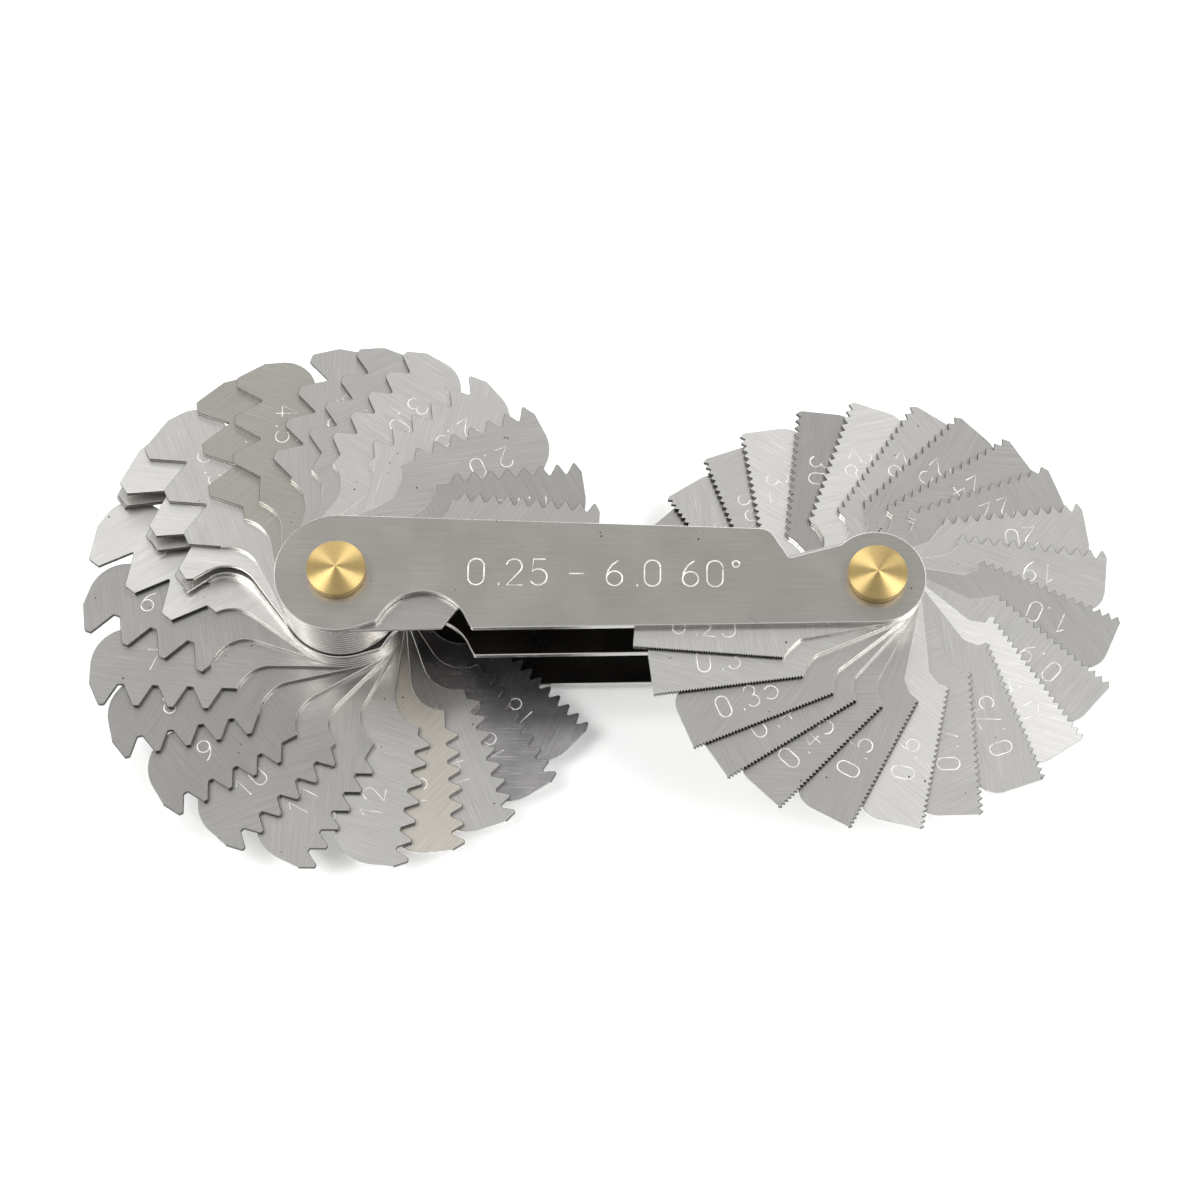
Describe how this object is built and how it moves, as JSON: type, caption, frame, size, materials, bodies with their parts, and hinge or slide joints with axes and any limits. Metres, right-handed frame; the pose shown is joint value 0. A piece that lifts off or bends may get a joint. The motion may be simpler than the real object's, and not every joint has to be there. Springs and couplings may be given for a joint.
{
  "type": "screw pitch gauge",
  "caption": "Double-ended pocket gauge for screw thread pitch: toothed steel leaves fan out from brass rivets at both ends of a layered steel case with nail notches.",
  "frame": {"origin": "on the left rivet's axis, in the plane that the flat faces of the two rear rivet caps rest on", "axes": "+X along the case from the coarse-leaf rivet to the fine-leaf rivet, +Z along the rivets from the rear caps to the turned front heads"},
  "size_m": [0.1082, 0.0558, 0.0191],
  "materials": {
    "cheek_steel": "ground sheet steel, fine grain along the case",
    "gauge_steel": "satin ground gauge steel with fine scratches",
    "rivet_brass": "turned brass, shallow cone face"
  },
  "bodies": {
    "case": {"front_cheek": "cheek_steel", "middle_plate": "cheek_steel", "rear_cheek": "cheek_steel", "left_rivet_pin": "rivet_brass", "right_rivet_pin": "rivet_brass", "left_rear_rivet_cap": "rivet_brass", "right_rear_rivet_cap": "rivet_brass"},
    "metric_leaf_6mm": {"metric_leaf_6mm": "gauge_steel"},
    "metric_leaf_5_5mm": {"metric_leaf_5_5mm": "gauge_steel"},
    "metric_leaf_5mm": {"metric_leaf_5mm": "gauge_steel"},
    "metric_leaf_4_5mm": {"metric_leaf_4_5mm": "gauge_steel"},
    "metric_leaf_4mm": {"metric_leaf_4mm": "gauge_steel"},
    "metric_leaf_3_5mm": {"metric_leaf_3_5mm": "gauge_steel"},
    "metric_leaf_3mm": {"metric_leaf_3mm": "gauge_steel"},
    "metric_leaf_2_5mm": {"metric_leaf_2_5mm": "gauge_steel"},
    "metric_leaf_2mm": {"metric_leaf_2mm": "gauge_steel"},
    "metric_leaf_1_75mm": {"metric_leaf_1_75mm": "gauge_steel"},
    "metric_leaf_1_5mm": {"metric_leaf_1_5mm": "gauge_steel"},
    "metric_leaf_1_25mm": {"metric_leaf_1_25mm": "gauge_steel"},
    "metric_leaf_1mm": {"metric_leaf_1mm": "gauge_steel"},
    "metric_leaf_0_9mm": {"metric_leaf_0_9mm": "gauge_steel"},
    "metric_leaf_0_8mm": {"metric_leaf_0_8mm": "gauge_steel"},
    "metric_leaf_0_75mm": {"metric_leaf_0_75mm": "gauge_steel"},
    "metric_leaf_0_7mm": {"metric_leaf_0_7mm": "gauge_steel"},
    "metric_leaf_0_6mm": {"metric_leaf_0_6mm": "gauge_steel"},
    "metric_leaf_0_5mm": {"metric_leaf_0_5mm": "gauge_steel"},
    "metric_leaf_0_45mm": {"metric_leaf_0_45mm": "gauge_steel"},
    "metric_leaf_0_4mm": {"metric_leaf_0_4mm": "gauge_steel"},
    "metric_leaf_0_35mm": {"metric_leaf_0_35mm": "gauge_steel"},
    "metric_leaf_0_3mm": {"metric_leaf_0_3mm": "gauge_steel"},
    "metric_leaf_0_25mm": {"metric_leaf_0_25mm": "gauge_steel"},
    "whitworth_leaf_18tpi": {"whitworth_leaf_18tpi": "gauge_steel"},
    "whitworth_leaf_16tpi": {"whitworth_leaf_16tpi": "gauge_steel"},
    "whitworth_leaf_14tpi": {"whitworth_leaf_14tpi": "gauge_steel"},
    "whitworth_leaf_13tpi": {"whitworth_leaf_13tpi": "gauge_steel"},
    "whitworth_leaf_12tpi": {"whitworth_leaf_12tpi": "gauge_steel"},
    "whitworth_leaf_11tpi": {"whitworth_leaf_11tpi": "gauge_steel"},
    "whitworth_leaf_10tpi": {"whitworth_leaf_10tpi": "gauge_steel"},
    "whitworth_leaf_9tpi": {"whitworth_leaf_9tpi": "gauge_steel"},
    "whitworth_leaf_8tpi": {"whitworth_leaf_8tpi": "gauge_steel"},
    "whitworth_leaf_7tpi": {"whitworth_leaf_7tpi": "gauge_steel"},
    "whitworth_leaf_6tpi": {"whitworth_leaf_6tpi": "gauge_steel"},
    "whitworth_leaf_5tpi": {"whitworth_leaf_5tpi": "gauge_steel"},
    "whitworth_leaf_4_5tpi": {"whitworth_leaf_4_5tpi": "gauge_steel"},
    "whitworth_leaf_4tpi": {"whitworth_leaf_4tpi": "gauge_steel"},
    "whitworth_leaf_62tpi": {"whitworth_leaf_62tpi": "gauge_steel"},
    "whitworth_leaf_60tpi": {"whitworth_leaf_60tpi": "gauge_steel"},
    "whitworth_leaf_48tpi": {"whitworth_leaf_48tpi": "gauge_steel"},
    "whitworth_leaf_40tpi": {"whitworth_leaf_40tpi": "gauge_steel"},
    "whitworth_leaf_36tpi": {"whitworth_leaf_36tpi": "gauge_steel"},
    "whitworth_leaf_32tpi": {"whitworth_leaf_32tpi": "gauge_steel"},
    "whitworth_leaf_30tpi": {"whitworth_leaf_30tpi": "gauge_steel"},
    "whitworth_leaf_28tpi": {"whitworth_leaf_28tpi": "gauge_steel"},
    "whitworth_leaf_26tpi": {"whitworth_leaf_26tpi": "gauge_steel"},
    "whitworth_leaf_25tpi": {"whitworth_leaf_25tpi": "gauge_steel"},
    "whitworth_leaf_24tpi": {"whitworth_leaf_24tpi": "gauge_steel"},
    "whitworth_leaf_22tpi": {"whitworth_leaf_22tpi": "gauge_steel"},
    "whitworth_leaf_20tpi": {"whitworth_leaf_20tpi": "gauge_steel"},
    "whitworth_leaf_19tpi": {"whitworth_leaf_19tpi": "gauge_steel"}
  },
  "joints": [
    {"name": "metric_leaf_6mm_pivot", "type": "hinge", "parent": "case", "child": "metric_leaf_6mm", "pos_m": [0, 0, 0.01053], "axis": [0, 0, 1], "continuous": true},
    {"name": "metric_leaf_5_5mm_pivot", "type": "hinge", "parent": "case", "child": "metric_leaf_5_5mm", "pos_m": [0, 0, 0.01107], "axis": [0, 0, 1], "continuous": true},
    {"name": "metric_leaf_5mm_pivot", "type": "hinge", "parent": "case", "child": "metric_leaf_5mm", "pos_m": [0, 0, 0.01161], "axis": [0, 0, 1], "continuous": true},
    {"name": "metric_leaf_4_5mm_pivot", "type": "hinge", "parent": "case", "child": "metric_leaf_4_5mm", "pos_m": [0, 0, 0.01215], "axis": [0, 0, 1], "continuous": true},
    {"name": "metric_leaf_4mm_pivot", "type": "hinge", "parent": "case", "child": "metric_leaf_4mm", "pos_m": [0, 0, 0.01269], "axis": [0, 0, 1], "continuous": true},
    {"name": "metric_leaf_3_5mm_pivot", "type": "hinge", "parent": "case", "child": "metric_leaf_3_5mm", "pos_m": [0, 0, 0.01323], "axis": [0, 0, 1], "continuous": true},
    {"name": "metric_leaf_3mm_pivot", "type": "hinge", "parent": "case", "child": "metric_leaf_3mm", "pos_m": [0, 0, 0.01377], "axis": [0, 0, 1], "continuous": true},
    {"name": "metric_leaf_2_5mm_pivot", "type": "hinge", "parent": "case", "child": "metric_leaf_2_5mm", "pos_m": [0, 0, 0.01431], "axis": [0, 0, 1], "continuous": true},
    {"name": "metric_leaf_2mm_pivot", "type": "hinge", "parent": "case", "child": "metric_leaf_2mm", "pos_m": [0, 0, 0.01485], "axis": [0, 0, 1], "continuous": true},
    {"name": "metric_leaf_1_75mm_pivot", "type": "hinge", "parent": "case", "child": "metric_leaf_1_75mm", "pos_m": [0, 0, 0.01539], "axis": [0, 0, 1], "continuous": true},
    {"name": "metric_leaf_1_5mm_pivot", "type": "hinge", "parent": "case", "child": "metric_leaf_1_5mm", "pos_m": [0, 0, 0.01593], "axis": [0, 0, 1], "continuous": true},
    {"name": "metric_leaf_1_25mm_pivot", "type": "hinge", "parent": "case", "child": "metric_leaf_1_25mm", "pos_m": [0, 0, 0.01647], "axis": [0, 0, 1], "continuous": true},
    {"name": "metric_leaf_1mm_pivot", "type": "hinge", "parent": "case", "child": "metric_leaf_1mm", "pos_m": [0.055, 0, 0.01053], "axis": [0, 0, 1], "continuous": true},
    {"name": "metric_leaf_0_9mm_pivot", "type": "hinge", "parent": "case", "child": "metric_leaf_0_9mm", "pos_m": [0.055, 0, 0.01107], "axis": [0, 0, 1], "continuous": true},
    {"name": "metric_leaf_0_8mm_pivot", "type": "hinge", "parent": "case", "child": "metric_leaf_0_8mm", "pos_m": [0.055, 0, 0.01161], "axis": [0, 0, 1], "continuous": true},
    {"name": "metric_leaf_0_75mm_pivot", "type": "hinge", "parent": "case", "child": "metric_leaf_0_75mm", "pos_m": [0.055, 0, 0.01215], "axis": [0, 0, 1], "continuous": true},
    {"name": "metric_leaf_0_7mm_pivot", "type": "hinge", "parent": "case", "child": "metric_leaf_0_7mm", "pos_m": [0.055, 0, 0.01269], "axis": [0, 0, 1], "continuous": true},
    {"name": "metric_leaf_0_6mm_pivot", "type": "hinge", "parent": "case", "child": "metric_leaf_0_6mm", "pos_m": [0.055, 0, 0.01323], "axis": [0, 0, 1], "continuous": true},
    {"name": "metric_leaf_0_5mm_pivot", "type": "hinge", "parent": "case", "child": "metric_leaf_0_5mm", "pos_m": [0.055, 0, 0.01377], "axis": [0, 0, 1], "continuous": true},
    {"name": "metric_leaf_0_45mm_pivot", "type": "hinge", "parent": "case", "child": "metric_leaf_0_45mm", "pos_m": [0.055, 0, 0.01431], "axis": [0, 0, 1], "continuous": true},
    {"name": "metric_leaf_0_4mm_pivot", "type": "hinge", "parent": "case", "child": "metric_leaf_0_4mm", "pos_m": [0.055, 0, 0.01485], "axis": [0, 0, 1], "continuous": true},
    {"name": "metric_leaf_0_35mm_pivot", "type": "hinge", "parent": "case", "child": "metric_leaf_0_35mm", "pos_m": [0.055, 0, 0.01539], "axis": [0, 0, 1], "continuous": true},
    {"name": "metric_leaf_0_3mm_pivot", "type": "hinge", "parent": "case", "child": "metric_leaf_0_3mm", "pos_m": [0.055, 0, 0.01593], "axis": [0, 0, 1], "continuous": true},
    {"name": "metric_leaf_0_25mm_pivot", "type": "hinge", "parent": "case", "child": "metric_leaf_0_25mm", "pos_m": [0.055, 0, 0.01647], "axis": [0, 0, 1], "continuous": true},
    {"name": "whitworth_leaf_18tpi_pivot", "type": "hinge", "parent": "case", "child": "whitworth_leaf_18tpi", "pos_m": [0, 0, 0.00213], "axis": [0, 0, 1], "continuous": true},
    {"name": "whitworth_leaf_16tpi_pivot", "type": "hinge", "parent": "case", "child": "whitworth_leaf_16tpi", "pos_m": [0, 0, 0.00267], "axis": [0, 0, 1], "continuous": true},
    {"name": "whitworth_leaf_14tpi_pivot", "type": "hinge", "parent": "case", "child": "whitworth_leaf_14tpi", "pos_m": [0, 0, 0.00321], "axis": [0, 0, 1], "continuous": true},
    {"name": "whitworth_leaf_13tpi_pivot", "type": "hinge", "parent": "case", "child": "whitworth_leaf_13tpi", "pos_m": [0, 0, 0.00375], "axis": [0, 0, 1], "continuous": true},
    {"name": "whitworth_leaf_12tpi_pivot", "type": "hinge", "parent": "case", "child": "whitworth_leaf_12tpi", "pos_m": [0, 0, 0.00429], "axis": [0, 0, 1], "continuous": true},
    {"name": "whitworth_leaf_11tpi_pivot", "type": "hinge", "parent": "case", "child": "whitworth_leaf_11tpi", "pos_m": [0, 0, 0.00483], "axis": [0, 0, 1], "continuous": true},
    {"name": "whitworth_leaf_10tpi_pivot", "type": "hinge", "parent": "case", "child": "whitworth_leaf_10tpi", "pos_m": [0, 0, 0.00537], "axis": [0, 0, 1], "continuous": true},
    {"name": "whitworth_leaf_9tpi_pivot", "type": "hinge", "parent": "case", "child": "whitworth_leaf_9tpi", "pos_m": [0, 0, 0.00591], "axis": [0, 0, 1], "continuous": true},
    {"name": "whitworth_leaf_8tpi_pivot", "type": "hinge", "parent": "case", "child": "whitworth_leaf_8tpi", "pos_m": [0, 0, 0.00645], "axis": [0, 0, 1], "continuous": true},
    {"name": "whitworth_leaf_7tpi_pivot", "type": "hinge", "parent": "case", "child": "whitworth_leaf_7tpi", "pos_m": [0, 0, 0.00699], "axis": [0, 0, 1], "continuous": true},
    {"name": "whitworth_leaf_6tpi_pivot", "type": "hinge", "parent": "case", "child": "whitworth_leaf_6tpi", "pos_m": [0, 0, 0.00753], "axis": [0, 0, 1], "continuous": true},
    {"name": "whitworth_leaf_5tpi_pivot", "type": "hinge", "parent": "case", "child": "whitworth_leaf_5tpi", "pos_m": [0, 0, 0.00807], "axis": [0, 0, 1], "continuous": true},
    {"name": "whitworth_leaf_4_5tpi_pivot", "type": "hinge", "parent": "case", "child": "whitworth_leaf_4_5tpi", "pos_m": [0, 0, 0.00861], "axis": [0, 0, 1], "continuous": true},
    {"name": "whitworth_leaf_4tpi_pivot", "type": "hinge", "parent": "case", "child": "whitworth_leaf_4tpi", "pos_m": [0, 0, 0.00915], "axis": [0, 0, 1], "continuous": true},
    {"name": "whitworth_leaf_62tpi_pivot", "type": "hinge", "parent": "case", "child": "whitworth_leaf_62tpi", "pos_m": [0.055, 0, 0.00213], "axis": [0, 0, 1], "continuous": true},
    {"name": "whitworth_leaf_60tpi_pivot", "type": "hinge", "parent": "case", "child": "whitworth_leaf_60tpi", "pos_m": [0.055, 0, 0.00267], "axis": [0, 0, 1], "continuous": true},
    {"name": "whitworth_leaf_48tpi_pivot", "type": "hinge", "parent": "case", "child": "whitworth_leaf_48tpi", "pos_m": [0.055, 0, 0.00321], "axis": [0, 0, 1], "continuous": true},
    {"name": "whitworth_leaf_40tpi_pivot", "type": "hinge", "parent": "case", "child": "whitworth_leaf_40tpi", "pos_m": [0.055, 0, 0.00375], "axis": [0, 0, 1], "continuous": true},
    {"name": "whitworth_leaf_36tpi_pivot", "type": "hinge", "parent": "case", "child": "whitworth_leaf_36tpi", "pos_m": [0.055, 0, 0.00429], "axis": [0, 0, 1], "continuous": true},
    {"name": "whitworth_leaf_32tpi_pivot", "type": "hinge", "parent": "case", "child": "whitworth_leaf_32tpi", "pos_m": [0.055, 0, 0.00483], "axis": [0, 0, 1], "continuous": true},
    {"name": "whitworth_leaf_30tpi_pivot", "type": "hinge", "parent": "case", "child": "whitworth_leaf_30tpi", "pos_m": [0.055, 0, 0.00537], "axis": [0, 0, 1], "continuous": true},
    {"name": "whitworth_leaf_28tpi_pivot", "type": "hinge", "parent": "case", "child": "whitworth_leaf_28tpi", "pos_m": [0.055, 0, 0.00591], "axis": [0, 0, 1], "continuous": true},
    {"name": "whitworth_leaf_26tpi_pivot", "type": "hinge", "parent": "case", "child": "whitworth_leaf_26tpi", "pos_m": [0.055, 0, 0.00645], "axis": [0, 0, 1], "continuous": true},
    {"name": "whitworth_leaf_25tpi_pivot", "type": "hinge", "parent": "case", "child": "whitworth_leaf_25tpi", "pos_m": [0.055, 0, 0.00699], "axis": [0, 0, 1], "continuous": true},
    {"name": "whitworth_leaf_24tpi_pivot", "type": "hinge", "parent": "case", "child": "whitworth_leaf_24tpi", "pos_m": [0.055, 0, 0.00753], "axis": [0, 0, 1], "continuous": true},
    {"name": "whitworth_leaf_22tpi_pivot", "type": "hinge", "parent": "case", "child": "whitworth_leaf_22tpi", "pos_m": [0.055, 0, 0.00807], "axis": [0, 0, 1], "continuous": true},
    {"name": "whitworth_leaf_20tpi_pivot", "type": "hinge", "parent": "case", "child": "whitworth_leaf_20tpi", "pos_m": [0.055, 0, 0.00861], "axis": [0, 0, 1], "continuous": true},
    {"name": "whitworth_leaf_19tpi_pivot", "type": "hinge", "parent": "case", "child": "whitworth_leaf_19tpi", "pos_m": [0.055, 0, 0.00915], "axis": [0, 0, 1], "continuous": true}
  ]
}
